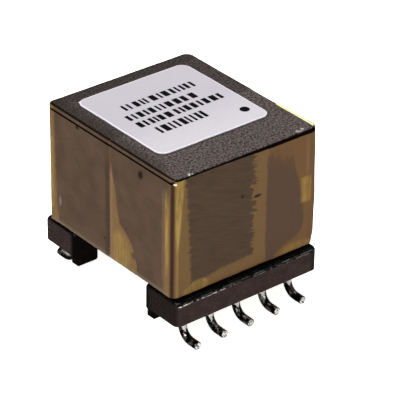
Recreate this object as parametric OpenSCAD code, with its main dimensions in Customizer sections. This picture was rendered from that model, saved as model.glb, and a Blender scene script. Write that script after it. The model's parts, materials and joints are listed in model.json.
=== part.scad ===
// Surface-mount power transformer: two ferrite core halves closed round a
// wound bobbin, taped together, with two moulded rails of round wire pins
// that are bent outwards into solder feet.
// Millimetres, +Z up. The solder feet stand on z = 0, the pin rows run
// along X, and the core halves meet on the plane y = 0.

/* [Core] */
// Width of the core, along the pin rows
core_w = 13.1; // [12.9:0.1:13.6]
// Depth of one core half, from its mating face to its end face
core_half_d = 7.4; // [7.2:0.1:7.8]
// Height of the core
core_h = 9.6; // [9.2:0.1:10]
// Radius of the core's upright corners
core_corner_r = 0.5; // [0.3:0.05:0.9]
// Radius of the core's top edges
core_edge_r = 0.18; // [0.1:0.02:0.3]
// Diameter of the winding chamber in the core
chamber_d = 10.6; // [10.4:0.1:11]
// Depth of the winding chamber in one core half
chamber_depth = 5.3; // [5.1:0.1:5.5]
// Diameter of the round centre post
post_d = 4.6; // [4.4:0.05:4.7]
// Height of the centre post's axis above the core's underside
post_axis_h = 2.6; // [2.5:0.05:2.8]
// Gap ground into the rear half's centre post
air_gap = 0.2; // [0.1:0.05:0.4]
// Thickness of the bond between the two core halves
bond_t = 0.05; // [0.03:0.01:0.1]

/* [Bobbin] */
// Wall of the bobbin's tube
tube_wall = 0.6; // [0.5:0.05:0.7]
// Thickness of each flange, and of the stand-off feet below it
flange_t = 0.95; // [0.7:0.05:1.1]
// Clearance between the centre post and the bobbin's tube
post_clearance = 0.1; // [0.05:0.01:0.12]
// Clearance between a flange's rim and the chamber wall
rim_clearance = 0.15; // [0.1:0.05:0.25]
// Clearance between a flange's outer face and the chamber's end wall
end_clearance = 0.25; // [0.15:0.05:0.4]
// Length of a pin rail, along X
rail_l = 13.3; // [13:0.1:13.8]
// How far a rail's front face stands out past the core's end face
rail_reach = 0.57; // [0.4:0.05:0.8]
// Height of a rail
rail_h = 1.93; // [1.6:0.05:2.2]
// Radius of a rail's upright corners
rail_corner_r = 0.45; // [0.35:0.05:0.6]
// Radius of a rail's top edges
rail_edge_r = 0.3; // [0.15:0.05:0.3]
// Height of the pad on each rail that the core sits on
seat_h = 0.3; // [0.2:0.05:0.5]
// How far the pad stops short of the rail's front face
seat_setback = 0.95; // [0.8:0.05:1.2]
// Width of a stand-off foot, along X
foot_w = 1.85; // [1.6:0.05:2.1]
// How far a stand-off foot stands in from the end of the rail
foot_inset = 0.2; // [0.2:0.05:0.4]
// Drop of a stand-off foot below the rail
foot_drop = 1; // [0.8:0.05:1.2]
// Radius of a stand-off foot's lower corners, seen from the front
foot_corner_r = 0.4; // [0.2:0.05:0.5]
// Radius of a stand-off foot's lower edges, seen from the end of the rail
foot_edge_r = 0.4; // [0.1:0.05:0.45]
// Radius of a stand-off foot's upright corners at its outer end
foot_end_r = 0.3; // [0.2:0.05:0.3]
// Width of a lead slot in the underside of a rail
slot_w = 0.7; // [0.6:0.05:0.9]
// Depth of a lead slot
slot_h = 0.5; // [0.4:0.05:0.6]

/* [Pins] */
// Distance between neighbouring pins in a row
pin_pitch = 2.5; // [2.4:0.05:2.6]
// Diameter of the pin wire
pin_d = 0.64; // [0.56:0.02:0.7]
// Height of the rails' underside above the board
standoff = 2.27; // [2.2:0.05:2.6]
// Distance of a pin's upright leg behind the rail's front face
pin_setback = 1.4; // [1.3:0.05:1.6]
// Radius of the bend in a pin, on its centre line
bend_r = 1; // [0.8:0.05:1.05]
// How far a solder foot reaches past the rail's front face
foot_reach = 0.45; // [0.4:0.05:0.8]
// Thickness of plastic left over the top of a pin
pin_cover = 0.4; // [0.3:0.05:0.6]
// Bevel round the cut end of a pin
pin_bevel = 0.08; // [0.04:0.01:0.12]

/* [Solder and leads] */
// Thickness of the solder over the lead's turns on a pin
solder_t = 0.08; // [0.05:0.01:0.12]
// Diameter of a winding lead
lead_d = 0.22; // [0.16:0.02:0.26]
// Turns of lead wrapped round each pin
wrap_turns = 3; // [2:1:3]

/* [Windings] */
// Wire of both halves of the primary
primary_wire = 0.28; // [0.24:0.02:0.3]
// Insulated wire of the secondary
secondary_wire = 0.5; // [0.44:0.02:0.52]
// Wire of the auxiliary winding
auxiliary_wire = 0.2; // [0.16:0.02:0.22]
// Turns of the auxiliary winding, spread over the bobbin
auxiliary_turns = 10; // [8:1:14]
// Thickness of each insulating tape between the windings
barrier_t = 0.1; // [0.05:0.01:0.12]
// Thickness of the tape over the finished winding
wrap_t = 0.15; // [0.1:0.01:0.16]

/* [Core tape and label] */
// Thickness of the tape wound round the core
tape_t = 0.1; // [0.06:0.01:0.14]
// Width of the core tape, up the side of the core
tape_w = 9.5; // [9.3:0.05:9.6]
// How far the core tape hangs below the core's underside
tape_drop = 0.08; // [0:0.01:0.12]
// Length of the core tape's lapped end on the front face
tape_lap = 4; // [3:0.5:8]
// Thickness of one layer of the core tape, at its lapped end
film_t = 0.05; // [0.03:0.01:0.06]
// Side of the square label
label_w = 10.2; // [9:0.1:10.6]
// Corner radius of the label
label_corner_r = 0.8; // [0.5:0.1:1.5]
// Thickness of the label
label_t = 0.1; // [0.06:0.01:0.15]
// Distance of the label's centre from the core's joint, towards the rear
label_shift = 0.95; // [0:0.05:1.3]

/* [Hidden] */
$fn = 64;
PINS_PER_ROW = 5;
FRONT = -1;
REAR = 1;

// The sub-parts, outside in

// A cut that must run clean through a wall passes it by this much
through = 1;

// Heights above the board
rail_top = standoff + rail_h;
core_z0 = rail_top + seat_h;
core_z1 = core_z0 + core_h;
axis_z = core_z0 + post_axis_h;

// Distances from the joint plane y = 0
mate_y = bond_t / 2;
core_end_y = mate_y + core_half_d;
chamber_end_y = mate_y + chamber_depth;
flange_out_y = chamber_end_y - end_clearance;
flange_in_y = flange_out_y - flange_t;
rail_front_y = core_end_y + rail_reach;
pin_y = rail_front_y - pin_setback;
pin_tip_y = rail_front_y + foot_reach;

// Radii round the centre post's axis
tube_bore_r = post_d / 2 + post_clearance;
tube_r = tube_bore_r + tube_wall;
flange_r = chamber_d / 2 - rim_clearance;
primary_inner_r = tube_r;
barrier_inner_r = primary_inner_r + primary_wire;
secondary_r = barrier_inner_r + barrier_t;
barrier_middle_r = secondary_r + secondary_wire;
auxiliary_r = barrier_middle_r + barrier_t;
barrier_outer_r = auxiliary_r + auxiliary_wire;
primary_outer_r = barrier_outer_r + barrier_t;
wrap_r = primary_outer_r + primary_wire;
winding_r = wrap_r + wrap_t;

// The turns lie between the flanges, with room at each end for a lead
lead_clearance = 0.04;
winding_room = lead_d + lead_clearance;
winding_l = 2 * (flange_in_y - winding_room);

// Wrapped and soldered length of a pin, just under the rail
wrap_pitch = lead_d * 0.95;
collar_r = pin_d / 2 + solder_t;
collar_h = wrap_turns * wrap_pitch;

// The lead slots stop this short of the turns on the pins
slot_margin = 0.08;
slot_end_y = pin_y - pin_d / 2 - lead_d / 2 - slot_margin;

// The end slots keep this clear of the stand-off feet
slot_clearance = 0.05;
slot_max_x = rail_l / 2 - foot_inset - foot_w - slot_clearance - slot_w / 2;

// ---------------------------------------------------------------- outlines

// Rectangle centred on x = 0 from y = 0 up, its two upper corners rounded
module arch(w, h, r) {
    square_x = w / 2 - r;
    union() {
        translate([-w / 2, 0]) square([w, h - r]);
        translate([-square_x, 0]) square([2 * square_x, h]);
        for (side = [-1, 1]) translate([side * square_x, h - r]) circle(r);
    }
}

// Rectangle centred on the origin with four rounded corners
module round_rect(w, h, r) {
    union() {
        square([w, h - 2 * r], center = true);
        square([w - 2 * r, h], center = true);
        for (sx = [-1, 1], sy = [-1, 1])
            translate([sx * (w / 2 - r), sy * (h / 2 - r)]) circle(r);
    }
}

// Section through the rounded top edge of a slab. x runs out to the edge
module edge_section(width, h, r) {
    union() {
        square([width, h - r]);
        square([width - r, h]);
        translate([width - r, h - r]) intersection() {
            circle(r);
            square(r);
        }
    }
}

// Slab centred on x = 0 from y = 0 up, with rounded upright corners and a
// rounded top edge that runs on round them
module soft_slab(w, d, h, corner_r, edge_r) {
    square_w = w - 2 * corner_r;
    square_d = d - 2 * corner_r;
    translate([-square_w / 2, corner_r, 0]) cube([square_w, square_d, h]);
    translate([0, d / 2, 0]) for (turn = [0, 180]) rotate([0, 0, turn]) {
        translate([0, square_d / 2, 0]) along_x(square_w) edge_section(corner_r, h, edge_r);
        translate([square_w / 2, -square_d / 2, 0]) along_y(square_d)
            edge_section(corner_r, h, edge_r);
        for (side = [0, 1]) mirror([side, 0, 0])
            translate([square_w / 2, square_d / 2, 0])
                rotate_extrude(angle = 90) edge_section(corner_r, h, edge_r);
    }
}

// Extrusion along Y, from y = 0 to y = depth, of an outline drawn in X and Z
module along_y(depth) {
    translate([0, depth, 0]) rotate([90, 0, 0]) linear_extrude(depth) children();
}

// Extrusion along X, centred on x = 0, of an outline drawn in Y and Z
module along_x(length) {
    translate([-length / 2, 0, 0]) rotate([90, 0, 90]) linear_extrude(length) children();
}

// The piece as drawn for the rear side, or turned round to the front one
module on_side(side) {
    rotate([0, 0, side == FRONT ? 180 : 0]) children();
}

// Revolve about the centre post's axis. x is the radius and y runs along Y
module about_post() {
    translate([0, 0, axis_z]) rotate([90, 0, 0]) rotate_extrude() children();
}

// Band of a constant thickness wound over the bobbin
module band(inner_r, thickness) {
    about_post() translate([inner_r, -winding_l / 2]) square([thickness, winding_l]);
}

// ------------------------------------------------------------------- core

// Outline of the core seen from its end, with the chamber's open mouth below
module core_section() {
    translate([0, core_z0]) difference() {
        arch(core_w, core_h, core_edge_r);
        translate([0, post_axis_h]) circle(d = chamber_d);
        translate([-chamber_d / 2, -through]) square([chamber_d, post_axis_h + through]);
    }
}

// Rear core half. The post stops short of the joint by short_post
module core_half(short_post) {
    difference() {
        intersection() {
            translate([0, -core_end_y, core_z0])
                soft_slab(core_w, 2 * core_end_y, core_h, core_corner_r, core_edge_r);
            translate([-core_w / 2, mate_y, core_z0]) cube([core_w, core_half_d, core_h]);
        }
        translate([0, mate_y - through, axis_z]) along_y(chamber_depth + through)
            circle(d = chamber_d);
        translate([-chamber_d / 2, mate_y - through, core_z0 - through])
            cube([chamber_d, chamber_depth + through, post_axis_h + through]);
    }
    translate([0, mate_y + short_post, axis_z])
        along_y(chamber_depth - short_post + end_clearance) circle(d = post_d);
}

module core_half_front() {
    color([0.2, 0.18, 0.17]) on_side(FRONT) core_half(0);
}

module core_half_rear() {
    color([0.22, 0.2, 0.19]) on_side(REAR) core_half(air_gap);
}

// Thin glue joint between the faces of the two halves, without the posts
module core_bond() {
    color([0.1, 0.09, 0.08]) translate([0, -mate_y, 0]) along_y(bond_t) core_section();
}

// ------------------------------------------------------------------ bobbin

// Rail, seat pad and feet of the rear side
module rail() {
    translate([0, flange_in_y, standoff])
        soft_slab(rail_l, rail_front_y - flange_in_y, rail_h, rail_corner_r, rail_edge_r);
    translate([0, flange_out_y, rail_top - rail_edge_r]) linear_extrude(rail_edge_r + seat_h)
        arch(rail_l - 2 * rail_corner_r, rail_front_y - seat_setback - flange_out_y,
             rail_corner_r);
}

// Stand-off foot at each end of the rail, rounded at its outer end and below
module rail_feet() {
    foot_top = standoff + rail_edge_r;
    foot_z0 = standoff - foot_drop;
    foot_h = foot_top - foot_z0;
    for (side = [0, 1]) mirror([side, 0, 0])
        translate([(rail_l - foot_w) / 2 - foot_inset, flange_in_y + flange_t / 2, 0]) intersection() {
            translate([-foot_w / 2, 0, foot_z0]) linear_extrude(foot_h)
                rotate([0, 0, -90]) arch(flange_t, foot_w, foot_end_r);
            translate([0, -flange_t / 2, foot_top]) along_y(flange_t) mirror([0, 1])
                arch(foot_w, foot_h, foot_corner_r);
            translate([0, 0, foot_top]) along_x(foot_w) mirror([0, 1])
                arch(flange_t, foot_h, foot_edge_r);
        }
}

// Flange of the rear side: a disc whose lower half runs straight down
module flange() {
    translate([0, flange_in_y, 0]) along_y(flange_t) union() {
        translate([0, axis_z]) circle(flange_r);
        translate([-flange_r, standoff + rail_h / 2])
            square([2 * flange_r, axis_z - standoff - rail_h / 2]);
    }
}

// Place along the rear row of the slot for the i-th pin, beside the foot for
// the end pins
function slot_x(i) = abs(pin_x(i)) < slot_max_x ? pin_x(i) : sign(pin_x(i)) * slot_max_x;

// Grooves under the rear rail that carry the winding leads to the pins
module lead_slots() {
    slot_y0 = flange_in_y - through;
    for (i = [1 : PINS_PER_ROW])
        translate([slot_x(i) - slot_w / 2, slot_y0, standoff - through])
            cube([slot_w, slot_end_y - slot_y0, slot_h + through]);
}

module bobbin() {
    color([0.1, 0.09, 0.09]) difference() {
        union() {
            about_post() translate([0, -flange_out_y]) square([tube_r, 2 * flange_out_y]);
            for (side = [FRONT, REAR]) on_side(side) {
                flange();
                rail();
                rail_feet();
            }
        }
        about_post() translate([0, -flange_out_y - through])
            square([tube_bore_r, 2 * (flange_out_y + through)]);
        for (side = [FRONT, REAR]) on_side(side) {
            lead_slots();
            for (i = [1 : PINS_PER_ROW])
                translate([pin_x(i), pin_y, standoff - through])
                    cylinder(d = pin_d, h = rail_h - pin_cover + through);
        }
    }
}

// -------------------------------------------------------------------- pins

// Place along the rear row of the i-th pin of that row, from -X to +X
function pin_x(i) = (i - (PINS_PER_ROW + 1) / 2) * pin_pitch;

// Pin of the rear row: upright leg, bend and level solder foot
module wire_pin() {
    foot_z = pin_d / 2;
    leg_z0 = foot_z + bend_r;
    foot_y0 = bend_r;
    foot_y1 = pin_tip_y - pin_y - pin_bevel;
    translate([0, 0, leg_z0]) cylinder(d = pin_d, h = rail_top - pin_cover - leg_z0);
    translate([0, bend_r, leg_z0]) rotate([90, 0, 90]) rotate([0, 0, 180])
        rotate_extrude(angle = 90) translate([bend_r, 0]) circle(d = pin_d);
    translate([0, foot_y0, foot_z]) rotate([-90, 0, 0]) {
        cylinder(d = pin_d, h = foot_y1 - foot_y0);
        translate([0, 0, foot_y1 - foot_y0])
            cylinder(d1 = pin_d, d2 = pin_d - 2 * pin_bevel, h = pin_bevel);
    }
}

// Pins 1 to 5 run along the front row from +X, and 6 to 10 along the rear
// row from -X, so both rows count up from their own side's left end
module numbered_pin(number) {
    side = number <= PINS_PER_ROW ? FRONT : REAR;
    place = number <= PINS_PER_ROW ? number : number - PINS_PER_ROW;
    color([0.7, 0.69, 0.68]) on_side(side) translate([pin_x(place), pin_y, 0]) wire_pin();
}

// --------------------------------------------------------- solder and leads

// Turns of lead round a pin, run over with solder, under the rear rail
module solder_collar() {
    translate([0, 0, standoff]) rotate_extrude() intersection() {
        union() {
            translate([0, -collar_h]) square([collar_r, collar_h]);
            translate([0, -collar_h])
                polygon([[0, -solder_t], [pin_d / 2, -solder_t], [collar_r, 0], [0, 0]]);
            for (turn = [1 : wrap_turns])
                translate([pin_d / 2, (0.5 - turn) * wrap_pitch]) circle(d = lead_d);
        }
        translate([pin_d / 2, -collar_h - through])
            square([solder_t + lead_d, collar_h + through]);
    }
}

module solder_row(side) {
    color([0.82, 0.82, 0.83]) on_side(side)
        for (i = [1 : PINS_PER_ROW]) translate([pin_x(i), pin_y, 0]) solder_collar();
}

module solder_front() { solder_row(FRONT); }
module solder_rear() { solder_row(REAR); }

// Straight round wire from point a to point b
module wire_run(a, b, d) {
    run = b - a;
    length = norm(run);
    translate(a) rotate([0, acos(run.z / length), atan2(run.y, run.x)])
        cylinder(d = d, h = length);
}

// Lead of one pin of the rear row: down the end of the winding, beside the
// flange, out through the slot and over to the turns on the pin
module lead(i) {
    x = slot_x(i);
    slot_level = standoff + slot_h / 2;
    wrap_level = standoff - 1.5 * wrap_pitch;
    inner_y = (winding_l + lead_d) / 2;
    outer_y = slot_end_y - lead_d / 2;
    start_r = winding_r - lead_d;
    start_z = axis_z - sqrt(start_r * start_r - x * x);
    route = [[x, inner_y, start_z], [x, inner_y, slot_level], [x, outer_y, slot_level],
             [x, outer_y, wrap_level], [pin_x(i), pin_y, wrap_level]];
    difference() {
        union() {
            for (k = [0 : len(route) - 2]) wire_run(route[k], route[k + 1], lead_d);
            for (k = [1 : len(route) - 2]) translate(route[k]) sphere(d = lead_d);
        }
        translate([pin_x(i), pin_y, wrap_level - lead_d])
            cylinder(d = pin_d + lead_d, h = 2 * lead_d);
    }
}

module lead_row(side) {
    color([0.72, 0.4, 0.2]) on_side(side) for (i = [1 : PINS_PER_ROW]) lead(i);
}

module leads_front() { lead_row(FRONT); }
module leads_rear() { lead_row(REAR); }

// ---------------------------------------------------------------- windings

// One close-wound layer: the turns touch and are held together by their
// varnish, which fills the valleys between them to half the wire's height
module wound_layer(inner_r, wire) {
    turns = floor(winding_l / wire);
    start = -turns * wire / 2;
    about_post() intersection() {
        union() {
            translate([inner_r, start + wire / 4]) square([wire / 2, turns * wire - wire / 2]);
            for (turn = [1 : turns])
                translate([inner_r + wire / 2, start + (turn - 0.5) * wire]) circle(d = wire);
        }
        translate([inner_r, -winding_l / 2]) square([wire, winding_l]);
    }
}

module primary_inner() { color([0.72, 0.36, 0.16]) wound_layer(primary_inner_r, primary_wire); }
module barrier_inner() { color([0.85, 0.75, 0.35]) band(barrier_inner_r, barrier_t); }
module secondary() { color([0.9, 0.78, 0.3]) wound_layer(secondary_r, secondary_wire); }
module barrier_middle() { color([0.85, 0.75, 0.35]) band(barrier_middle_r, barrier_t); }

// Few turns, spread evenly, each a ring of its own
module auxiliary() {
    spread = winding_l - 2 * auxiliary_wire;
    color([0.72, 0.36, 0.16]) about_post() for (turn = [0 : auxiliary_turns - 1])
        translate([auxiliary_r + auxiliary_wire / 2,
                   -spread / 2 + turn * spread / (auxiliary_turns - 1)])
            circle(d = auxiliary_wire);
}

module barrier_outer() { color([0.85, 0.75, 0.35]) band(barrier_outer_r, barrier_t); }
module primary_outer() { color([0.72, 0.36, 0.16]) wound_layer(primary_outer_r, primary_wire); }
module winding_wrap() { color([0.85, 0.75, 0.35]) band(wrap_r, wrap_t); }

// ----------------------------------------------------------- tape and label

// Clear amber tape round the four sides, with a lapped end on the front face
module core_tape() {
    tape_z0 = core_z0 - tape_drop;
    color([0.75, 0.55, 0.22]) difference() {
        translate([0, 0, tape_z0]) linear_extrude(tape_w) union() {
            round_rect(core_w + 2 * tape_t, 2 * (core_end_y + tape_t), core_corner_r + tape_t);
            translate([core_w / 2 - core_corner_r - tape_lap, -core_end_y - tape_t - film_t])
                square([tape_lap, core_end_y]);
        }
        translate([0, 0, tape_z0 - through]) linear_extrude(tape_w + 2 * through)
            round_rect(core_w, 2 * core_end_y, core_corner_r);
    }
}

module label() {
    color([0.93, 0.93, 0.96]) translate([0, label_shift, core_z1]) linear_extrude(label_t)
        round_rect(label_w, label_w, label_corner_r);
}

label();
core_tape();
core_half_front();
core_half_rear();
core_bond();
bobbin();
numbered_pin(1);  // pin_1
numbered_pin(2);  // pin_2
numbered_pin(3);  // pin_3
numbered_pin(4);  // pin_4
numbered_pin(5);  // pin_5
numbered_pin(6);  // pin_6
numbered_pin(7);  // pin_7
numbered_pin(8);  // pin_8
numbered_pin(9);  // pin_9
numbered_pin(10);  // pin_10
solder_front();
solder_rear();
leads_front();
leads_rear();
winding_wrap();
primary_outer();
barrier_outer();
auxiliary();
barrier_middle();
secondary();
barrier_inner();
primary_inner();
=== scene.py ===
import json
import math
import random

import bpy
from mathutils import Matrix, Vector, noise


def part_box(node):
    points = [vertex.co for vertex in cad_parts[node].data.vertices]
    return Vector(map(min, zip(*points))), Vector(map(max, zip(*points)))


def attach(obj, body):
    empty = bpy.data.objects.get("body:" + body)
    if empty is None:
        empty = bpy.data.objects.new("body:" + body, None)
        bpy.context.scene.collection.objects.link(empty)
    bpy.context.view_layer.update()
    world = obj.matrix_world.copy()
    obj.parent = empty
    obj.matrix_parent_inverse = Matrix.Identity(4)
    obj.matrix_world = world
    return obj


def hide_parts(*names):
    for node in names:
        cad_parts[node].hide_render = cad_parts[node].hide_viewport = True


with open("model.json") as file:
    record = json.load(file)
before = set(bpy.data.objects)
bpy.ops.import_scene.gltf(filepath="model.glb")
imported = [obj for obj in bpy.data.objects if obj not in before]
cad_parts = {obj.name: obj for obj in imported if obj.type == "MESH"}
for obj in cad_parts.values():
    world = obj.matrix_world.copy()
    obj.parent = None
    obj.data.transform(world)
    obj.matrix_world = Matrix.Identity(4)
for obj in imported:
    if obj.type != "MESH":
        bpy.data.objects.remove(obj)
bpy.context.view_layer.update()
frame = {"nodes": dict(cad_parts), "record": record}

# Looks of a surface-mount transformer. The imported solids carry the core, the
# bobbin, the windings and the pins. The core tape, the label and its print are
# modelled here, because a film's relief and a printed mark are too fine for
# solids. The pin rows run along X, the front row is at -Y, and the solder feet
# stand on z = 0. Lengths are in millimetres where a name says so, and
# Blender's are metres.

MM = 0.001
nodes = frame["nodes"]


def box_mm(node):
    """Lowest and highest corner of a solid, in millimetres."""
    low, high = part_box(node)
    return Vector(low) / MM, Vector(high) / MM


def smooth(edge0, edge1, value):
    """0 below edge0, 1 above edge1 and an even blend between them."""
    t = min(max((value - edge0) / (edge1 - edge0), 0.0), 1.0)
    return t * t * (3 - 2 * t)


# ------------------------------------------------------------------ camera

VIEW_AZIMUTH = math.radians(-39.565)
VIEW_ELEVATION = math.radians(30.304)
VIEW_ROLL = math.radians(0.937)
VIEW_DISTANCE_MM = 185.67
LENS_MM = 219.96
SENSOR_MM = 36.0
CLIP_START_MM = 1.0
CLIP_END_MM = 10000.0
# The middle of the picture, as a height on the object's axis and a shift
# across the view from there
AIM_HEIGHT_MM = 6.0
AIM_RIGHT_MM = 1.805
AIM_UP_MM = 0.407


def make_camera():
    """The camera, whose azimuth is counted from the front."""
    azimuth, elevation = VIEW_AZIMUTH, VIEW_ELEVATION
    level = Vector((math.cos(azimuth), math.sin(azimuth), 0))
    back = Vector((level.y, -level.x, 0)) * math.cos(elevation)
    back.z = math.sin(elevation)
    upright = back.cross(level)
    right = level * math.cos(VIEW_ROLL) + upright * math.sin(VIEW_ROLL)
    up = upright * math.cos(VIEW_ROLL) - level * math.sin(VIEW_ROLL)
    aim = Vector((0, 0, AIM_HEIGHT_MM)) + right * AIM_RIGHT_MM + up * AIM_UP_MM
    data = bpy.data.cameras.new("camera")
    data.lens = LENS_MM
    data.sensor_width = SENSOR_MM
    data.clip_start = CLIP_START_MM * MM
    data.clip_end = CLIP_END_MM * MM
    camera = bpy.data.objects.new("camera", data)
    turn = Matrix((right, up, back)).transposed().to_4x4()
    camera.matrix_world = Matrix.Translation((aim + back * VIEW_DISTANCE_MM) * MM) @ turn
    bpy.context.scene.collection.objects.link(camera)
    bpy.context.scene.camera = camera


# --------------------------------------------------------- material builder

class Graph:
    """A material written as calls, each of which adds one node. Sizes of
    patterns are given in millimetres on the object."""

    def __init__(self, name):
        self.material = bpy.data.materials.new(name)
        self.material.use_nodes = True
        self.tree = self.material.node_tree
        self.tree.nodes.clear()
        output = self.tree.nodes.new("ShaderNodeOutputMaterial")
        self.shader = self.tree.nodes.new("ShaderNodeBsdfPrincipled")
        self.tree.links.new(self.shader.outputs["BSDF"], output.inputs["Surface"])
        self.place = self.tree.nodes.new("ShaderNodeTexCoord").outputs["Object"]

    def feed(self, socket, value):
        """Link a socket to another node's output, or set it to a number or colour."""
        if isinstance(value, bpy.types.NodeSocket):
            self.tree.links.new(value, socket)
            return
        is_colour = hasattr(socket.default_value, "__len__") and len(socket.default_value) == 4
        socket.default_value = (*value, 1.0) if is_colour else value

    def set(self, **inputs):
        """Set the shader's own inputs. roughness=0.4 sets Roughness."""
        for name, value in inputs.items():
            title = name.replace("_", " ").title().replace("Ior", "IOR")
            self.feed(self.shader.inputs[title], value)

    def math(self, kind, a, b=0.0):
        node = self.tree.nodes.new("ShaderNodeMath")
        node.operation = kind
        self.feed(node.inputs[0], a)
        self.feed(node.inputs[1], b)
        return node.outputs[0]

    def chain(self, kind, values):
        """One calculation carried on through several values."""
        result = values[0]
        for value in values[1:]:
            result = self.math(kind, result, value)
        return result

    def total(self, *values):
        return self.chain("ADD", values)

    def product(self, *values):
        return self.chain("MULTIPLY", values)

    def largest(self, *values):
        return self.chain("MAXIMUM", values)

    def minus(self, a, b):
        return self.math("SUBTRACT", a, b)

    def distance(self, a, b=0.0):
        return self.math("ABSOLUTE", self.minus(a, b))

    def span(self, value, low, high, to_low=0.0, to_high=1.0):
        """value from low..high carried over smoothly to to_low..to_high."""
        node = self.tree.nodes.new("ShaderNodeMapRange")
        node.interpolation_type = "SMOOTHSTEP"
        for socket, number in zip(node.inputs[:5], (value, low, high, to_low, to_high)):
            self.feed(socket, number)
        return node.outputs[0]

    def mix(self, share, a, b):
        """Colour a where share is 0 and colour b where it is 1."""
        node = self.tree.nodes.new("ShaderNodeMix")
        node.data_type = "RGBA"
        self.feed(node.inputs["Factor"], share)
        self.feed(node.inputs[6], a)
        self.feed(node.inputs[7], b)
        return node.outputs[2]

    def mapped(self, middle_mm, turn, scale):
        """The place on the object, moved, turned and scaled as a texture is."""
        node = self.tree.nodes.new("ShaderNodeMapping")
        node.vector_type = "TEXTURE"
        self.feed(node.inputs["Vector"], self.place)
        node.inputs["Location"].default_value = [c * MM for c in middle_mm]
        node.inputs["Rotation"].default_value = [math.radians(angle) for angle in turn]
        node.inputs["Scale"].default_value = scale
        return node.outputs[0]

    def spot(self, middle_mm, radii_mm, turn=(0, 0, 0)):
        """1 inside an ellipsoid and 0 outside it, with a soft edge."""
        length = self.tree.nodes.new("ShaderNodeVectorMath")
        length.operation = "LENGTH"
        self.feed(length.inputs[0], self.mapped(middle_mm, turn, [r * MM for r in radii_mm]))
        return self.span(length.outputs["Value"], 0.6, 1.2, 1.0, 0.0)

    def noise(self, size_mm, detail=3.0, stretch=(1, 1, 1), turn=(0, 0, 0), rough=0.5):
        """Soft noise from 0 to 1, drawn out by stretch and then turned."""
        node = self.tree.nodes.new("ShaderNodeTexNoise")
        self.feed(node.inputs["Vector"], self.mapped((0, 0, 0), turn, stretch))
        node.inputs["Scale"].default_value = 1 / (size_mm * MM)
        node.inputs["Detail"].default_value = detail
        node.inputs["Roughness"].default_value = rough
        return node.outputs["Fac"]

    def cells(self, size_mm):
        """Distance from the middle of the nearest cell."""
        node = self.tree.nodes.new("ShaderNodeTexVoronoi")
        self.feed(node.inputs["Vector"], self.place)
        node.inputs["Scale"].default_value = 1 / (size_mm * MM)
        return node.outputs["Distance"]

    def attribute(self, name):
        """A value that the mesh holds at its points."""
        node = self.tree.nodes.new("ShaderNodeAttribute")
        node.attribute_name = name
        return node.outputs["Fac"]

    def axes(self):
        """The three coordinates of the place on the object, in millimetres."""
        node = self.tree.nodes.new("ShaderNodeSeparateXYZ")
        self.feed(node.inputs[0], self.place)
        return [self.math("MULTIPLY", node.outputs[letter], 1 / MM) for letter in "XYZ"]

    def line(self, value, middle, half_width, soft):
        """1 where value is within half_width of middle, fading over soft."""
        return self.span(self.distance(value, middle), half_width, half_width + soft, 1.0, 0.0)

    def past_label(self):
        """Distance out from the label's outline, negative inside it, in millimetres."""
        low, high = box_mm("label")
        middle = (low + high) / 2
        straight = (high.x - low.x) / 2 - LABEL_CORNER_R_MM
        x, y, _ = self.axes()
        squares = []
        for place, centre in ((x, middle.x), (y, middle.y)):
            over = self.largest(self.minus(self.distance(place, centre), straight), 0.0)
            squares.append(self.product(over, over))
        return self.minus(self.math("SQRT", self.total(*squares)), LABEL_CORNER_R_MM)

    def bump(self, height, depth_mm, under=None):
        """A normal from a height of 0 to 1, laid over another one."""
        node = self.tree.nodes.new("ShaderNodeBump")
        node.inputs["Strength"].default_value = 1.0
        node.inputs["Distance"].default_value = depth_mm * MM
        self.feed(node.inputs["Height"], height)
        if under is not None:
            self.feed(node.inputs["Normal"], under)
        return node.outputs["Normal"]


# --------------------------------------------------------------- materials

# Faces and edges of the solids that the materials refer to. The solder round
# the pins ends at the underside of the rails.
CORE_SIDE_MM, CORE_END_MM, CORE_TOP_MM = box_mm("core_half_rear")[1]
RAIL_END_MM, RAIL_FRONT_MM, _ = box_mm("bobbin")[1]
RAIL_UNDERSIDE_MM = box_mm("solder_front")[1].z
RAIL_H_MM = 1.93
RAIL_TOP_MM = RAIL_UNDERSIDE_MM + RAIL_H_MM
PIN_TIP_MM = box_mm("pin_6")[1].y
PITCH_MM = box_mm("pin_1")[1].x - box_mm("pin_2")[1].x
LABEL_CORNER_R_MM = 0.8
# The tape's top edge, and where its outer end stops on the front face
FILM_TOP_MM = 14.03
LAP_X_MM = 1.95

NEAR_BLACK = (0.006, 0.004, 0.003)


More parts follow.
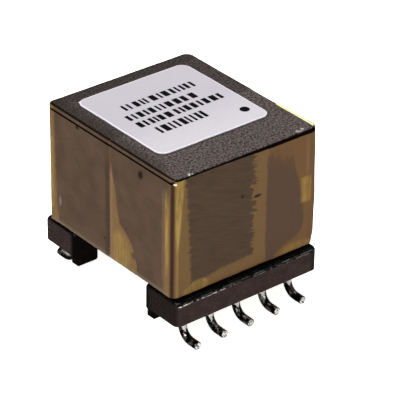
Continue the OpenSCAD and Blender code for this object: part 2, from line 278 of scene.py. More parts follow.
def ferrite_material(name, shade):
    """Ground sintered ferrite: warm dark grey, full of fine pits and grains.
    Painted shade darkens its edges and its left margin, a painted shadow rings
    the label, its rear margin is darker too, and painted glints light two
    corners. A lower shade darkens the rest."""
    def shaded(*colour):
        return [shade * c for c in colour]

    g = Graph(name)
    x, y, z = g.axes()
    grain = g.noise(0.17, detail=3, rough=0.65)
    broad = g.noise(0.9, detail=4)
    pit, face = shaded(0.01, 0.0075, 0.007), shaded(0.175, 0.132, 0.124)
    colour = g.mix(g.span(grain, 0.4, 0.61), pit, face)
    colour = g.mix(g.product(g.span(broad, 0.35, 0.7), 0.3), colour, shaded(0.1, 0.085, 0.083))
    speck = g.product(g.span(g.cells(0.2), 0.05, 0.3, 1.0, 0.0),
                      g.span(g.noise(0.33, detail=1), 0.56, 0.68))
    colour = g.mix(g.product(speck, 0.6), colour, shaded(0.42, 0.4, 0.39))
    rear = g.span(y, 6.0, 6.6)
    left = g.product(g.span(x, -5.9, -5.3, 1.0, 0.0), g.span(y, -6.6, -5.0))
    colour = g.mix(g.product(rear, 0.42), colour, (0.008, 0.006, 0.004))
    # Painted shade over the left margin of the top
    colour = g.mix(g.product(left, 0.5), colour, (0.0155, 0.0068, 0.0005))
    # Painted shade on the rounded top edge and the faces below it, and along the left and rear edges
    edge_shade = g.largest(g.span(z, CORE_TOP_MM - 0.1, CORE_TOP_MM - 0.01, 1.0, 0.0),
                     g.span(x, 0.15 - CORE_SIDE_MM, 0.23 - CORE_SIDE_MM, 1.0, 0.0),
                     g.span(y, CORE_END_MM - 0.205, CORE_END_MM - 0.125))
    colour = g.mix(g.product(edge_shade, 0.9), colour, NEAR_BLACK)
    # A painted shadow round the label
    colour = g.mix(g.span(g.past_label(), 0.03, 0.16, 0.7, 0.0), colour, NEAR_BLACK)
    # Painted glints at two front corners
    corner_glints = g.total(g.spot((-5.1, -7.3, CORE_TOP_MM - 0.02), (0.3, 0.12, 0.08)),
                    g.spot((5.3, -7.12, CORE_TOP_MM - 0.02), (0.5, 0.22, 0.1)))
    corner_glints = g.product(corner_glints, g.span(g.noise(0.12, detail=2), 0.52, 0.6), 0.8)
    colour = g.mix(corner_glints, colour, (0.6, 0.58, 0.56))
    g.set(base_color=colour, roughness=g.span(grain, 0.3, 0.7, 0.75, 0.5))
    g.set(specular_ior_level=g.span(edge_shade, 0.0, 1.0, 0.22, 0.02), normal=g.bump(grain, 0.04))
    return g.material


def moulding_material():
    """Black phenolic moulding with a brown cast on its long faces. Its rounded
    top edges are painted glossy black as shade under the core, and painted
    shade darkens its ends and feet too."""
    g = Graph("moulding")
    x, y, z = g.axes()
    from_middle = g.distance(x)
    cloud = g.noise(0.9, detail=4)
    fine = g.noise(0.1, detail=4, rough=0.7)
    scuff = g.span(g.noise(0.2, detail=4, stretch=(1, 1, 2)), 0.45, 0.75)
    colour = g.mix(g.span(cloud, 0.3, 0.7), (0.029, 0.0165, 0.0155), (0.04, 0.0235, 0.0225))
    colour = g.mix(g.product(scuff, 0.3), colour, (0.05, 0.035, 0.033))

    # Painted shade on the rails' ends, deeper on the front rail
    ends = g.largest(g.span(from_middle, RAIL_END_MM - 0.25, RAIL_END_MM - 0.01),
                     g.span(x, RAIL_END_MM - 0.95, RAIL_END_MM - 0.15))
    ends = g.product(ends, g.span(y, 3.0, 5.0, 0.85, 0.35))
    # Painted shade between the rails and on the feet below them
    between_rails = g.span(g.distance(y), 4.4, 4.95, 1.0, 0.0)
    below_rails = g.span(z, RAIL_UNDERSIDE_MM - 0.17, RAIL_UNDERSIDE_MM + 0.13, 1.0, 0.0)
    feet_shade = g.largest(below_rails, between_rails)
    # The painted black shade on top begins a little higher on the ends
    rise = g.span(from_middle, RAIL_END_MM - 0.15, RAIL_END_MM - 0.05, 0.0, 0.14)
    top = g.span(g.minus(z, rise), RAIL_TOP_MM - 0.32, RAIL_TOP_MM - 0.22)
    colour = g.mix(ends, colour, (0.007, 0.005, 0.004))
    colour = g.mix(g.product(feet_shade, 0.95), colour, (0.002, 0.0015, 0.0014))
    colour = g.mix(top, colour, (0.002, 0.0016, 0.0015))

    # Painted glint: bright dashes along the front edge, most of them on the left
    edge_glint = g.product(g.line(z, RAIL_TOP_MM - 0.26, 0.03, 0.03),
                     g.span(y, 0.095 - RAIL_FRONT_MM, 0.195 - RAIL_FRONT_MM, 1.0, 0.0),
                     g.span(g.noise(0.16, detail=2, stretch=(2.5, 1, 1)), 0.46, 0.6),
                     g.span(x, -4.9, -4.3, 1.0, 0.5), g.span(x, -2.6, -1.8, 1.0, 0.25))
    colour = g.mix(edge_glint, colour, (0.75, 0.7, 0.67))
    # The gloss comes and goes along the top edge
    broken = g.span(g.noise(0.5, detail=4, rough=0.7), 0.42, 0.6, 0.03, 0.42)
    plain = g.product(g.span(top, 0.0, 1.0, 0.35, 0.0), g.span(feet_shade, 0.0, 1.0, 1.0, 0.1))
    g.set(base_color=colour, roughness=g.span(fine, 0.3, 0.7, 0.14, 0.3))
    g.set(specular_ior_level=g.total(g.product(top, broken), plain))
    g.set(normal=g.bump(fine, 0.008, under=g.bump(cloud, 0.03)))
    return g.material


def pin_material():
    """Tinned wire: bright metal streaked along the wire, with patches painted
    near black as dark reflections, and clean cut ends painted bright partly as
    the floor's reflection. Below the solder a white tongue of tin runs down
    its outer side."""
    g = Graph("tinned_pin")
    x, y, z = g.axes()
    streak = g.noise(0.13, detail=4, stretch=(1, 3, 3))
    # Painted dark reflection in patches of near-black metal
    dark_reflection = g.span(g.noise(0.26, detail=4, stretch=(1, 2, 2)), 0.38, 0.52)
    # Cut ends: bare metal, painted bright partly for the floor's reflection
    cut_end_and_reflection = g.span(g.distance(y), PIN_TIP_MM - 0.065, PIN_TIP_MM - 0.015)
    pits = g.span(g.noise(0.16, detail=2), 0.48, 0.6)
    # The tongue narrows to a ragged point, a little left of the pin's middle
    step = g.math("FLOORED_MODULO", g.total(x, PITCH_MM / 2), PITCH_MM)
    beside = g.distance(g.minus(step, PITCH_MM / 2), -0.1)
    ragged = g.product(g.noise(0.3, detail=3), 0.9)
    height = g.minus(g.total(z, ragged), g.product(beside, 1.9))
    rear_blob = g.spot((-5.2, 7.4, 1.05), (0.6, 0.9, 0.5))
    tin = g.largest(g.span(height, 1.22, 1.4), rear_blob)
    colour = g.mix(dark_reflection, (0.8, 0.76, 0.73), (0.012, 0.01, 0.009))
    colour = g.mix(tin, colour, (1.0, 0.93, 0.9))
    colour = g.mix(cut_end_and_reflection, colour, g.mix(pits, (0.95, 0.9, 0.86), (0.08, 0.07, 0.06)))
    matt = g.product(g.largest(cut_end_and_reflection, tin), 0.8)
    g.set(base_color=colour, metallic=g.minus(1.0, matt))
    g.set(roughness=g.span(streak, 0.3, 0.7, 0.08, 0.35), normal=g.bump(streak, 0.06))
    return g.material


def solder_material():
    """Lumpy solder, bright with darker hollows."""
    g = Graph("solder")
    lump = g.noise(0.22, detail=3)
    colour = g.mix(g.span(lump, 0.45, 0.6), (0.95, 0.88, 0.86), (0.3, 0.28, 0.27))
    g.set(base_color=colour, metallic=0.2, roughness=g.span(lump, 0.3, 0.7, 0.1, 0.28))
    g.set(normal=g.bump(lump, 0.05))
    return g.material


def copper_material():
    """Enamelled copper wire."""
    g = Graph("enamelled_wire")
    tone = g.noise(0.4, detail=2)
    colour = g.mix(tone, (0.5, 0.17, 0.06), (0.72, 0.3, 0.12))
    g.set(base_color=colour, metallic=0.85, roughness=0.28, coat_weight=0.6, coat_roughness=0.08)
    g.set(normal=g.bump(tone, 0.005))
    return g.material


def yellow_film_material(name, dark, light):
    """Thin polyester film on tapes and insulated wire, wavy and glossy."""
    g = Graph(name)
    wave = g.noise(0.8, detail=3, stretch=(1, 3, 1))
    colour = g.mix(g.span(wave, 0.3, 0.7), dark, light)
    g.set(base_color=colour, roughness=0.3, coat_weight=0.5, coat_roughness=0.1)
    g.set(normal=g.bump(wave, 0.05))
    return g.material


def adhesive_material():
    """Cured adhesive, dark and rather dull."""
    g = Graph("adhesive")
    lump = g.noise(0.3, detail=3)
    g.set(base_color=g.mix(lump, (0.008, 0.006, 0.005), (0.02, 0.016, 0.013)), roughness=0.5)
    g.set(normal=g.bump(lump, 0.02))
    return g.material


def film_colour(g, front, side, grind, air, air_edge):
    """Colour of the tape before its lines and specks: grey brown where glue
    wets the core, and amber to pale gold where air is left."""
    x, _, _ = g.axes()
    lap = g.product(front, g.span(x, LAP_X_MM - 0.05, LAP_X_MM + 0.05))
    before_lap = g.minus(front, lap)
    brush = g.noise(0.35, detail=4, stretch=(1, 1, 5), rough=0.6)
    cloud = g.noise(1.4, detail=4)
    mottle = g.noise(0.22, detail=4, rough=0.65)

    wet = g.mix(g.span(cloud, 0.3, 0.7), (0.072, 0.0425, 0.0245), (0.093, 0.056, 0.034))
    wet = g.mix(g.span(grind, 0.35, 0.65, 0.25, 0.0), wet, (0.045, 0.026, 0.014))
    # Painted shade: the wet tape on the front face is darker than on the sides
    wet_front_shaded = g.mix(g.span(grind, 0.35, 0.65), (0.06, 0.035, 0.018), (0.077, 0.046, 0.0245))
    wet = g.mix(before_lap, wet, wet_front_shaded)
    wet = g.mix(lap, wet, (0.088, 0.048, 0.027))

    amber = g.mix(g.span(mottle, 0.25, 0.75), (0.143, 0.077, 0.0245), (0.183, 0.103, 0.034))
    amber = g.mix(g.product(front, 0.7), amber, (0.149, 0.0765, 0.021))
    amber = g.mix(g.product(lap, 0.8), amber, (0.138, 0.063, 0.016))

    gold = g.mix(g.span(brush, 0.3, 0.7), (0.235, 0.145, 0.022), (0.33, 0.215, 0.04))
    gold = g.mix(g.product(lap, 0.7), gold, (0.27, 0.14, 0.021))
    gold = g.mix(g.product(side, 0.12), gold, (0.2, 0.11, 0.025))

    pale = g.product(g.attribute("pale"), g.span(brush, 0.32, 0.62, 0.55, 1.0))
    rim = g.product(g.span(air_edge, -0.1, 0.0), g.span(air_edge, 0.0, 0.1, 1.0, 0.0))
    colour = g.mix(air, wet, amber)
    colour = g.mix(pale, colour, gold)
    colour = g.mix(g.product(rim, 0.3), colour, (0.06, 0.03, 0.012))
    # Pink tint, and a painted highlight beside the core's joint
    return g.mix(g.product(g.attribute("tint_and_highlight"), 0.6), colour, (0.24, 0.13, 0.07))


# Dark specks under the tape: middle and radii
FILM_SPECKS_MM = (
    ((-6.65, -3.7, 12.95), (0.3, 0.28, 0.38)),
    ((-6.65, 3.75, 13.55), (0.2, 0.2, 0.16)),
    ((-6.65, 0.5, 5.8), (0.2, 0.1, 0.1)),
    ((1.05, -7.55, 10.3), (0.4, 0.2, 0.13)),
    ((-0.35, -7.55, 10.7), (0.13, 0.2, 0.16)),
)


def film_material():
    """Amber tape on dark ferrite. Where the glue wets the core it is grey
    brown, and where air is left under the film it turns gold. The mesh holds
    the distance to the nearest air pocket's edge, so the edges stay sharp."""
    g = Graph("core_film")
    _, y, z = g.axes()
    front = g.attribute("front")
    side = g.minus(1.0, front)
    grind = g.noise(0.1, detail=4, stretch=(14, 14, 1), turn=(-9, 17, 0), rough=0.6)
    ragged = g.product(g.minus(g.noise(0.4, detail=5, rough=0.65), 0.5), 0.4)
    teeth = g.minus(g.noise(0.2, detail=2, stretch=(5, 5, 1), turn=(0, 12, 0)), 0.5)
    air_edge = g.total(g.attribute("air"), ragged, g.product(teeth, g.attribute("comb"), 2.2))
    air = g.span(air_edge, -0.14, 0.14)
    colour = film_colour(g, front, side, grind, air, air_edge)

    # Lines under the top edge (painted shade of the gap at the core's edge), along the lower edge and
    # over the core's joint
    depth = g.minus(FILM_TOP_MM, z)
    side_line = g.product(g.line(depth, 0.26, 0.07, 0.03), side)
    past_shade = g.minus(depth, g.attribute("shade"))
    front_line = g.product(g.span(past_shade, -0.03, 0.03, 1.0, 0.0), front)
    top_edge_shade = g.math("MINIMUM", g.total(side_line, front_line), 1.0)
    foot_line = g.product(g.span(depth, 9.25, 9.4), side, 0.5)
    joint = g.product(g.line(y, 0.17, 0.09, 0.26), g.span(z, 11.5, 13.3, 0.6, 0.2))
    colour = g.mix(foot_line, colour, (0.17, 0.13, 0.08))
    colour = g.mix(joint, colour, (0.04, 0.022, 0.012))

    for middle, radii in FILM_SPECKS_MM:
        speck = g.spot(middle, radii, turn=(20, 0, 0))
        colour = g.mix(g.product(speck, 0.95), colour, (0.012, 0.005, 0.003))
    # A painted highlight on the left face
    highlight_speck = g.spot((-6.65, 5.95, 6.4), (0.2, 0.14, 0.45))
    colour = g.mix(g.product(highlight_speck, 0.28), colour, (0.4, 0.34, 0.3))
    # Painted dark reflections on the corners, painted shade beside the lap and on the cut edges, and
    # the tape's darker ends in front
    colour = g.mix(g.attribute("dark"), colour, (0.032, 0.009, 0.004))
    colour = g.mix(top_edge_shade, colour, (0.003, 0.002, 0.0015))
    corner_glint = g.spot((-6.45, -7.42, 13.74), (0.16, 0.16, 0.08))
    colour = g.mix(corner_glint, colour, (0.9, 0.84, 0.55))
    colour = g.mix(g.attribute("glow"), colour, (0.85, 0.84, 0.38))

    ground = g.bump(g.product(grind, g.minus(1.0, air)), 0.002)
    g.set(base_color=colour, roughness=g.span(air, 0.0, 1.0, 0.36, 0.44))
    g.set(normal=g.bump(air, 0.012, under=ground), coat_roughness=0.08, coat_ior=1.45)
    g.set(coat_weight=g.span(top_edge_shade, 0.0, 1.0, 0.5, 0.0))
    g.set(specular_ior_level=g.span(top_edge_shade, 0.0, 1.0, 0.25, 0.0))
    return g.material


def label_material():
    """White film label with a cool cast and a soft sheen. A painted highlight
    lightens its rim, and painted light lightens it toward the front."""
    g = Graph("label_film")
    _, y, _ = g.axes()
    cloud = g.noise(2.4, detail=3)
    fine = g.noise(0.12, detail=3)
    colour = g.mix(cloud, (0.425, 0.402, 0.435), (0.452, 0.428, 0.462))
    # Painted light toward the front
    colour = g.mix(g.span(y, -4.5, 1.5, 1.0, 0.0), colour, (0.52, 0.495, 0.525))
    colour = g.mix(g.span(fine, 0.3, 0.7, 0.15, 0.0), colour, (0.33, 0.31, 0.35))
    # Painted highlight along the rim
    colour = g.mix(g.span(g.past_label(), -0.16, -0.04, 0.0, 0.85), colour, (0.72, 0.69, 0.73))
    g.set(base_color=colour, roughness=0.5, specular_ior_level=0.3, normal=g.bump(fine, 0.003))
    return g.material


def ink_material():
    """Black print, a little worn."""
    g = Graph("print_ink")
    wear = g.noise(0.12, detail=4)
    colour = g.mix(g.span(wear, 0.4, 0.8), (0.002, 0.002, 0.0025), (0.01, 0.009, 0.011))
    g.set(base_color=colour, roughness=0.7, specular_ior_level=0.03, normal=g.bump(wear, 0.002))
    return g.material


def floor_material():
    """Plain pale floor. A faint glow, as on a light table, keeps the shadow pale."""
    g = Graph("floor")
    cloud = g.noise(40, detail=2)
    g.set(base_color=g.mix(cloud, (0.86, 0.86, 0.86), (0.88, 0.88, 0.88)), roughness=0.9)
    g.set(emission_color=(1.0, 1.0, 1.0), emission_strength=0.9)
    return g.material


# ------------------------------------------------------------- mesh helpers

def make_object(name, vertices_mm, faces, material, replaced=(), attributes=None, flat=False):
    """A piece of the object from points in millimetres."""
    mesh = bpy.data.meshes.new(name)
    mesh.from_pydata([Vector(v) * MM for v in vertices_mm], [], faces)
    for key, values in (attributes or {}).items():
        layer = mesh.attributes.new(key, "FLOAT", "POINT")
        layer.data.foreach_set("value", values)
    if not flat:
        mesh.polygons.foreach_set("use_smooth", [True] * len(mesh.polygons))
    mesh.materials.append(material)
    piece = bpy.data.objects.new(name, mesh)
    bpy.context.scene.collection.objects.link(piece)
    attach(piece, "root")
    if replaced:
        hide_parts(*replaced)
    return piece


def pointing(degrees):
    """A level direction, counted from +X."""
    angle = math.radians(degrees)
    return Vector((math.cos(angle), math.sin(angle), 0))


def quadrants(half_x, half_y):
    """Corners of a rectangle, each with the angle at which its arc starts."""
    signs = ((1, 1), (-1, 1), (-1, -1), (1, -1))
    return [(Vector((sx * half_x, sy * half_y, 0)), 90 * k) for k, (sx, sy) in enumerate(signs)]


# --------------------------------------------------------------- core tape

FILM_CORNER_R_MM = 0.55
FILM_CORNER_STEPS = 10
FILM_STEP_MM = 0.1
# How far the film's inner face stands in from its outer one
FILM_DEPTH_MM = 0.07
# The film stays this much inside the box of the solid that it replaces
FILM_INSET_MM = 0.03
# The rear core half stands out a little, and so does the tape over it
SEAM_STEP_MM = 0.03
LAP_STEP_MM = 0.045
AIR_LIFT_MM = 0.02
# Where the tape's inner end shows through the outer one on the front face
UNDER_LAP_X_MM = 6.0
# The tape's top edge stands up on the right face, next to the front corner
PROUD_MM = 0.1
RIGHT_FACE_FROM_MM = 6.0
# The tape is loose round the right front corner and bows out there
BOW_MM = 0.17
BOW_CORNER_MM = (6.4, -7.3)


def ellipse(u, z, cu, cz, ru, rz):
    """Distance in from the edge of an ellipse, negative outside."""
    k = math.hypot((u - cu) / ru, (z - cz) / rz)
    return (1 - k) * min(ru, rz)


def between(value, low, high):
    """Distance in from the nearer of two limits, negative outside them."""
    return min(value - low, high - value)


# Distance into a pocket that isn't there
OUTSIDE = -1.0


def ramp(value, points):
    """Straight-line reading of a curve given by a few points."""
    if value <= points[0][0]:
        return points[0][1]
    for (a, fa), (b, fb) in zip(points, points[1:]):
        if value <= b:
            return fa + (fb - fa) * (value - a) / (b - a)
    return points[-1][1]


def air_front(x, z):
    """Air pockets on the front face, as the distance in from their edge. A
    ramp gives the place of an edge at some heights, or its height at some x."""
    left = ramp(z, [(4.5, -4.9), (9, -5.15), (14, -5.5)]) - x
    band = between(x, 0.7, LAP_X_MM)
    foot = OUTSIDE
    if x < LAP_X_MM:
        foot = ramp(x, [(-5, 5.25), (-3.2, 5.25), (-2.4, 5.5), (1.9, 5.6)]) - z
    right = x - ramp(z, [(5.4, 4.7), (6.1, 5.3), (7.2, 5.42), (8.5, 5.27), (10.3, 4.9), (11.6, 4.5),
                         (13, 4.3)])
    corner = top = OUTSIDE
    if x > LAP_X_MM:
        top = 0.12 * (z - ramp(x, [(2, 12.8), (3, 12.5), (4.3, 11.9)]))
    if x > 2.4:
        corner = ramp(x, [(2.6, 4.5), (2.9, 4.85), (3.6, 5.25), (4.9, 5.65), (5.4, 6.2)]) - z
    return max(left, band, foot, right, corner, top)


def pale_front(x, z):
    """Share of pale gold in the air pockets of the front face."""
    # The sliver beside the near corner is pale gold, partly a painted highlight of the corner
    sliver = between(x, -ramp(z, [(7.8, 6.3), (14, 6.55)]), -ramp(z, [(7.8, 6.2), (14, 5.65)]))
    blob = ellipse(x, z, -4.35, 4.6, 0.9, 0.66)
    drop = ellipse(x, z, -5.5, 4.65, 0.3, 0.3)
    patch = min(between(x, 5.15, 6.05), between(z, 8.3, 10.4))
    corner = ellipse(x, z, 4.9, 4.45, 1.9, 0.7)
    return max(smooth(-0.06, 0.12, sliver),
               0.5 * smooth(-0.05, 0.05, blob),
               0.9 * smooth(0.09, 0.02, abs(blob)),
               0.6 * smooth(-0.05, 0.1, drop),
               0.9 * smooth(-0.06, 0.08, patch),
               0.5 * smooth(-0.05, 0.2, corner))


def air_left(y, z):
    """Air pockets on the left face. The wedge starts at the core's joint."""
    strip = y - ramp(z, [(4.5, 6.1), (8, 6.45), (14, 6.6)])
    wedge_edge = ramp(z, [(7.9, 1.25), (9.0, 1.0), (10.2, 0.8), (11.4, 0.45), (12.2, 0.15)])
    wedge = between(y, -wedge_edge, -0.12)
    patch = min(ellipse(y, z, -0.5, 4.7, 2.8, 3.25), -0.2 - y)
    notch = ellipse(y, z, -3.0, 5.9, 0.3, 0.28)
    near = -y - ramp(z, [(4.5, 6.35), (7, 6.45), (10, 6.5), (13, 7.0)])
    return max(strip, wedge, min(patch, -notch), near)


def pale_left(y, z):
    """Share of pale gold in the air pockets of the left face."""
    patch = min(ellipse(y, z, -1.3, 5.6, 1.3, 1.75), -0.35 - y)
    # The strip beside the near corner is pale gold, partly a painted highlight of the corner
    near = min(between(-y, 6.45, 6.95), z - 6.0)
    far = min(y - 6.75, between(z, 5.5, 11.5))
    near_share = ramp(z, [(6.5, 0.5), (8.5, 1.1), (11.8, 1.0), (13.2, 0.0)])
    return max(0.58 * smooth(-0.1, 0.4, patch),
               near_share * smooth(-0.05, 0.1, near),
               0.8 * smooth(-0.1, 0.1, far))


def air_rear(x, z):
    """Air pockets on the rear face."""
    sides = abs(x) - ramp(z, [(4.5, 5.2), (9, 5.5), (14, 5.3)])
    foot = ramp(x, [(-6, 5.6), (-1, 5.1), (2, 5.5), (6, 5.2)]) - z
    pocket = ellipse(x, z, 2.2, 12.9, 1.7, 0.8)
    return max(sides, foot, pocket)


def air_right(y, z):
    """Air pockets on the right face, with a wedge at the core's joint again."""
    ends = abs(y) - ramp(z, [(4.5, 6.3), (9, 6.5), (14, 6.2)])
    wedge = min(-0.12 - y, y + ramp(z, [(5, 1.6), (8, 0.8), (11, 0.15)]))
    foot = ramp(y, [(-7, 5.4), (-2, 5.1), (0, 4.9), (4, 5.3), (7, 5.6)]) - z
    return max(ends, wedge, foot)


def on_front(normal):
    return normal.y < -0.72


def on_left(normal):
    return normal.x < -0.7


def film_pocket(point, normal):
    """How far a point of the film is inside an air pocket, and its share of
    pale gold."""
    x, y, z = point
    if on_front(normal):
        return air_front(x, z), pale_front(x, z)
    if on_left(normal):
        return air_left(y, z), pale_left(y, z)
    if normal.y > 0.7:
        return air_rear(x, z), 0.0
    return air_right(y, z), 0.0


def film_ends_and_shade(point, normal):
    """How dark the film is: painted dark reflections on its rounded corners,
    its two ends in front, and a painted shadow beside the outer end.
    """
    x, _, z = point
    turn = math.degrees(math.atan2(-normal.y, -normal.x))
    if 0 < turn < 90:
        return 0.95 * smooth(4, 24, turn) * (1 - smooth(40, 56, turn))
    if on_front(normal) and x > 0:
        outer_end = 0.5 * (1 - smooth(0.02, 0.1, abs(x - LAP_X_MM - 0.03)))
        inner_end = 0.25 * (1 - smooth(0.02, 0.12, abs(x - UNDER_LAP_X_MM)))
        # Painted shadow beside the outer end's step
        beside = 0.25 * smooth(LAP_X_MM, LAP_X_MM + 0.1, x) * smooth(3.0, 2.3, x)
        return max(outer_end, inner_end, beside * smooth(11, 7, z))
    if normal.y > -0.9:
        return 0.5 * smooth(0.35, 0.65, min(abs(normal.x), abs(normal.y)))
    return 0.0


def film_comb(point, normal):
    """How much a comb of glue marks stirs the edge of a pocket in front."""
    x, _, z = point
    if not on_front(normal):
        return 0.0
    middle = smooth(-0.6, 0.1, x) * smooth(1.5, 1.1, x)
    return max(middle, 0.4 * smooth(-3.6, -4.2, x)) * smooth(5.7, 6.4, z)


def film_tint_and_highlight(point, normal):
    """Share of a pink tint, in thin upright streaks. The streak beside the
    core's joint on the left is a painted highlight.
    """
    x, y, z = point
    if on_front(normal):
        streak = 1 - smooth(0.05, 0.2, abs(x - 5.68))
        return 0.5 * streak * smooth(10.3, 11, z) * smooth(13.9, 13.2, z)
    if on_left(normal):
        # Painted highlight where the film slopes over the core's joint
        middle = 0.7 * smooth(0.02, 0.1, -y - 0.12) * smooth(0.5, 0.3, -y) * smooth(12.6, 11.8, z)
        near = 0.5 * (1 - smooth(0.05, 0.2, abs(y + 6.3))) * smooth(5, 6, z) * smooth(13.4, 12, z)
        far = smooth(6.85, 7.0, y) * smooth(4.5, 7, z) * smooth(12.8, 11.5, z)
        return max(middle, near, far)
    return 0.0


def film_marks(point, normal):
    """Values that the film's material reads at a point of its outer face.
    Those not told above are how much it belongs to the front face, how deep
    the painted shade line under its top edge is, and a painted glow that only
    cut edges have."""
    air, pale = film_pocket(point, normal)
    return {
        "air": air,
        "pale": pale,
        "dark": film_ends_and_shade(point, normal),
        "comb": film_comb(point, normal),
        "front": smooth(0.6, 0.8, -normal.y),
        "shade": 0.07 + 0.13 * smooth(-3.5, 2.5, point.x),
        "tint_and_highlight": film_tint_and_highlight(point, normal),
        "glow": 0.0,
    }


def rim_marks(foot, normal, stand):
    """The same values for the film's cut edges and its inside: tan on the
    left, gold toward the near corner and painted shade elsewhere. What stands
    up past the core gets a painted glow."""
    left = smooth(0.6, 0.8, -normal.x)
    near = smooth(-5.6, -6.9, foot.y) * left
    return {
        "air": 0.3 * near,
        "pale": 0.7 * near,
        "dark": 0.9 * (1 - left),
        "comb": 0.0,
        "front": smooth(0.6, 0.8, -normal.y),
        "shade": 0.2,
        "tint_and_highlight": 0.0,
        "glow": smooth(0.02, 0.08, stand),
    }


def film_path(width, depth, radius):
    """Points round a rounded rectangle with their outward normals."""
    path = []
    corners = quadrants(width / 2 - radius, depth / 2 - radius)
    for index, (corner, start) in enumerate(corners):
        for k in range(FILM_CORNER_STEPS):
            normal = pointing(start + 90 * k / FILM_CORNER_STEPS)
            path.append((corner + normal * radius, normal))
        normal = pointing(start + 90)
        here = corner + normal * radius
        there = corners[(index + 1) % 4][0] + normal * radius
        steps = int((there - here).length / FILM_STEP_MM)
        path += [(here.lerp(there, k / steps), normal) for k in range(steps)]
    return path


def film_lift(point, normal, air):
    """How far the film stands off its flat place."""
    wave = 0.012 * noise.noise(point * 0.55) + 0.004 * noise.noise(point * 2.3)
    lift = wave + AIR_LIFT_MM * smooth(-0.05, 0.25, air)
    if abs(normal.x) > 0.9:
        lift += SEAM_STEP_MM * smooth(-0.15, 0.05, point.y)
    if normal.y < -0.9:
        lap = smooth(LAP_X_MM - 0.05, LAP_X_MM + 0.05, point.x)
        lift += LAP_STEP_MM * lap * smooth(UNDER_LAP_X_MM + 0.1, UNDER_LAP_X_MM - 0.1, point.x)
    away = math.hypot(point.x - BOW_CORNER_MM[0], point.y - BOW_CORNER_MM[1])
    rise = ramp(point.z, [(4.4, 0.1), (5.4, 0.8), (8.5, 1.0), (10, 0.8), (12.5, 0.5), (14.1, 0.25)])
    return lift + BOW_MM * rise * smooth(1.8, 0.2, away)


def proud(foot):
    """How far the tape's top edge stands up at a place on the film's outline."""
    if foot.x < RIGHT_FACE_FROM_MM:
        return 0.0
    return PROUD_MM * smooth(-7.3, -6.9, foot.y) * smooth(-2.6, -3.2, foot.y)


def core_film():
    """The tape round the core, as one closed wall with relief on its outside."""
    low, high = box_mm("core_tape")
    width = high.x - low.x - 2 * FILM_INSET_MM
    depth = 2 * (high.y - FILM_INSET_MM)
    path = film_path(width, depth, FILM_CORNER_R_MM)
    rows = int((high.z - low.z) / FILM_STEP_MM)
    vertices, faces = [], []
    marks = {key: [] for key in rim_marks(*path[0], 0.0)}
    for foot, normal in path:
        stand = proud(foot)
        rim_top = FILM_TOP_MM + 0.012 * noise.noise(foot * 0.8) + stand
        rim_foot = low.z + 0.02 * noise.noise(foot * 0.9 + Vector((7, 0, 0)))
        rim = rim_marks(foot, normal, stand)
        for row in range(rows + 1):
            z = rim_foot + (rim_top - rim_foot) * row / rows
            point = Vector((foot.x, foot.y, z))
            here = film_marks(point, normal)
            vertices.append(point + normal * film_lift(point, normal, here["air"]))
            for key, value in here.items():
                marks[key].append(value)
        for z in (rim_top, rim_foot):
            vertices.append(Vector((foot.x, foot.y, z)) - normal * FILM_DEPTH_MM)
            for key, value in rim.items():
                marks[key].append(value)
    column = rows + 3
    count = len(path)
    for i in range(count):
        a, b = i * column, (i + 1) % count * column
        for row in range(rows):
            faces.append((a + row, b + row, b + row + 1, a + row + 1))
        faces.append((a + rows, b + rows, b + rows + 1, a + rows + 1))
        faces.append((a + rows + 1, b + rows + 1, b + rows + 2, a + rows + 2))
        faces.append((a + rows + 2, b + rows + 2, b, a))
    make_object("core_film", vertices, faces, film_material(),
                replaced=("core_tape",), attributes=marks)


# ------------------------------------------------------------------- label

LABEL_BEVEL_MM = 0.03
LABEL_STEP_MM = 0.3
LABEL_CORNER_STEPS = 12
# How far the rim lifts, and how far in from the rim the lift reaches
LABEL_CURL_MM = 0.03
LABEL_CURL_REACH_MM = 0.8
# A nib left by the cutter on the far left corner, whose arc starts at 90 degrees
LABEL_NIB_MM = 0.09
LABEL_NIB_CORNER = 90
# Rings from the foot of the rim inward: distance in, and share of the height
LABEL_RINGS = (
    (0.0, 0.0),
    (0.0, 0.7),
    (LABEL_BEVEL_MM, 1.0),
    (0.12, 1.0),
    (0.35, 1.0),
    (LABEL_CURL_REACH_MM, 1.0),
)


def label_outline(size):
    """Points round the square label, centred on the origin."""
    points = []
    half = size / 2 - LABEL_CORNER_R_MM
    for corner, start in quadrants(half, half):
        for k in range(LABEL_CORNER_STEPS + 1):
            has_nib = start == LABEL_NIB_CORNER and k == LABEL_CORNER_STEPS // 2
            reach = LABEL_CORNER_R_MM + (LABEL_NIB_MM if has_nib else 0)
            points.append(corner + pointing(start + 90 * k / LABEL_CORNER_STEPS) * reach)
    dense = []
    for a, b in zip(points, points[1:] + points[:1]):
        steps = max(1, int((b - a).length / LABEL_STEP_MM))
        dense += [a.lerp(b, k / steps) for k in range(steps)]
    return dense


def label_sheet():
    """The label as a thin sheet whose edges are rounded and lift a little."""
    low, high = box_mm("label")
    middle = (low + high) / 2
    size = high.x - low.x
    outline = label_outline(size)
    vertices, faces = [], []
    for inset, share in LABEL_RINGS:
        for p in outline:
            lifted = smooth(LABEL_CURL_REACH_MM, 0.0, inset) * (0.5 + noise.noise(p * 0.5))
            near = p * (1 - 2 * inset / size)
            height = (high.z - low.z + LABEL_CURL_MM * lifted) * share
            vertices.append((middle.x + near.x, middle.y + near.y, low.z + height))
    count = len(outline)
    for ring in range(len(LABEL_RINGS) - 1):
        for k in range(count):
            a, b = ring * count + k, ring * count + (k + 1) % count
            faces.append((a, b, b + count, a + count))
    faces.append(tuple(range((len(LABEL_RINGS) - 1) * count, len(LABEL_RINGS) * count)))
    faces.append(tuple(reversed(range(count))))
    make_object("label_sheet", vertices, faces, label_material(), replaced=("label",))


# The print stands on the label and reaches a little way into it
INK_MM = 0.006
INK_SINK_MM = 0.002
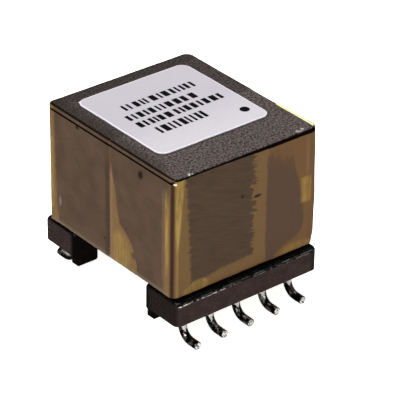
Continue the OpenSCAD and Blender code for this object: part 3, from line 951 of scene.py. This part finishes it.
# Rows of plain bars: middle of the row from the label's middle, height of
# its bars, and where it starts and ends
PRINT_ROWS_MM = (
    (2.1, 0.82, -3.0, 4.0),
    (0.65, 0.82, -3.7, 3.2),
    (-0.6, 0.82, -3.7, 4.3),
    (-2.05, 1.0, -3.0, 1.7),
)
BAR_WIDTHS_MM = (0.2, 0.24, 0.3, 0.42, 0.5)
BAR_GAPS_MM = (0.16, 0.2, 0.24, 0.34)
# The dot beside pin one, from the label's middle
DOT_MM = (4.0, -3.35)
DOT_R_MM = 0.38
DOT_SIDES = 32


def add_prism(vertices, faces, outline, z0, z1):
    """An upright prism on an outline of points."""
    start, n = len(vertices), len(outline)
    vertices += [(x, y, z0) for x, y in outline] + [(x, y, z1) for x, y in outline]
    faces.append(tuple(start + n + k for k in range(n)))
    faces.append(tuple(start + k for k in reversed(range(n))))
    for k in range(n):
        a, b = start + k, start + (k + 1) % n
        faces.append((a, b, b + n, a + n))


def label_print():
    """Generic marks: rows of plain bars, and the dot beside pin one."""
    low, high = box_mm("label")
    middle = (low + high) / 2
    z0, z1 = high.z - INK_SINK_MM, high.z + INK_MM
    vertices, faces = [], []
    draw = random.Random(4)
    for row_y, height, start, end in PRINT_ROWS_MM:
        y0, y1 = middle.y + row_y - height / 2, middle.y + row_y + height / 2
        x = start
        while x < end:
            wide = draw.choice(BAR_WIDTHS_MM)
            if x + wide > end:
                break
            x0, x1 = middle.x + x, middle.x + x + wide
            add_prism(vertices, faces, [(x0, y0), (x1, y0), (x1, y1), (x0, y1)], z0, z1)
            x += wide + draw.choice(BAR_GAPS_MM)
    dot = middle + Vector((*DOT_MM, 0))
    ring = [(dot + pointing(360 * k / DOT_SIDES) * DOT_R_MM).xy for k in range(DOT_SIDES)]
    add_prism(vertices, faces, ring, z0, z1)
    make_object("label_print", vertices, faces, ink_material(), flat=True)


# ------------------------------------------------------------- stage, light

FLOOR_SIZE_M = 4
SKY_STRENGTH = 0.07
LIGHT_AIM_MM = (0, 0, 8)
# Square panels: name, place and side in millimetres, and power in watts
LIGHTS = (
    ("overhead", (-60, 60, 420), 420, 2.95),
    ("left", (-320, -150, 240), 160, 0.45),
    ("glint", (165, -222, 118), 14, 0.1),
)


def make_floor():
    bpy.ops.mesh.primitive_plane_add(size=FLOOR_SIZE_M)
    floor = bpy.context.object
    floor.name = "floor"
    floor.data.materials.append(floor_material())
    # A dark surround for the gloss, as under a softbox with black flags
    floor.visible_glossy = False


def area_light(name, place_mm, side_mm, watts):
    data = bpy.data.lights.new(name, "AREA")
    data.size = side_mm * MM
    data.energy = watts
    light = bpy.data.objects.new(name, data)
    place, aim = Vector(place_mm) * MM, Vector(LIGHT_AIM_MM) * MM
    turn = (place - aim).to_track_quat("Z", "Y").to_matrix().to_4x4()
    light.matrix_world = Matrix.Translation(place) @ turn
    bpy.context.scene.collection.objects.link(light)


def make_light():
    """A large soft light overhead, a smaller one on the left, and a small
    panel at the front right for glints on the pins."""
    world = bpy.data.worlds.new("studio")
    world.use_nodes = True
    sky = world.node_tree.nodes["Background"]
    sky.inputs["Color"].default_value = (1.0, 1.0, 1.0, 1.0)
    sky.inputs["Strength"].default_value = SKY_STRENGTH
    bpy.context.scene.world = world
    for light in LIGHTS:
        area_light(*light)
    bpy.context.scene.view_settings.view_transform = "Standard"


# ------------------------------------------------------------------ dressing

MATERIALS = {
    "ferrite": ferrite_material("ferrite", 0.7),
    "moulding": moulding_material(),
    "tinned_pin": pin_material(),
    "solder": solder_material(),
    "enamelled_wire": copper_material(),
    "insulated_wire": yellow_film_material("insulated_wire", (0.6, 0.42, 0.05), (0.75, 0.58, 0.1)),
    "insulating_tape": yellow_film_material("insulating_tape", (0.62, 0.45, 0.08), (0.8, 0.62, 0.16)),
    "adhesive": adhesive_material(),
}
# The rear half of the core is darker than the front one
REAR_FERRITE = ferrite_material("ferrite_rear", 0.4)


def dress_solids():
    """Give each solid the material of its slot in the record. The label's and
    the core tape's own pieces carry theirs."""
    for part in frame["record"]["subparts"]:
        material = MATERIALS.get(part["material_slot"])
        if material is None:
            continue
        mesh = nodes[part["node"]].data
        mesh.materials.clear()
        mesh.materials.append(REAR_FERRITE if part["node"] == "core_half_rear" else material)


make_camera()
make_light()
make_floor()
dress_solids()
core_film()
label_sheet()
label_print()
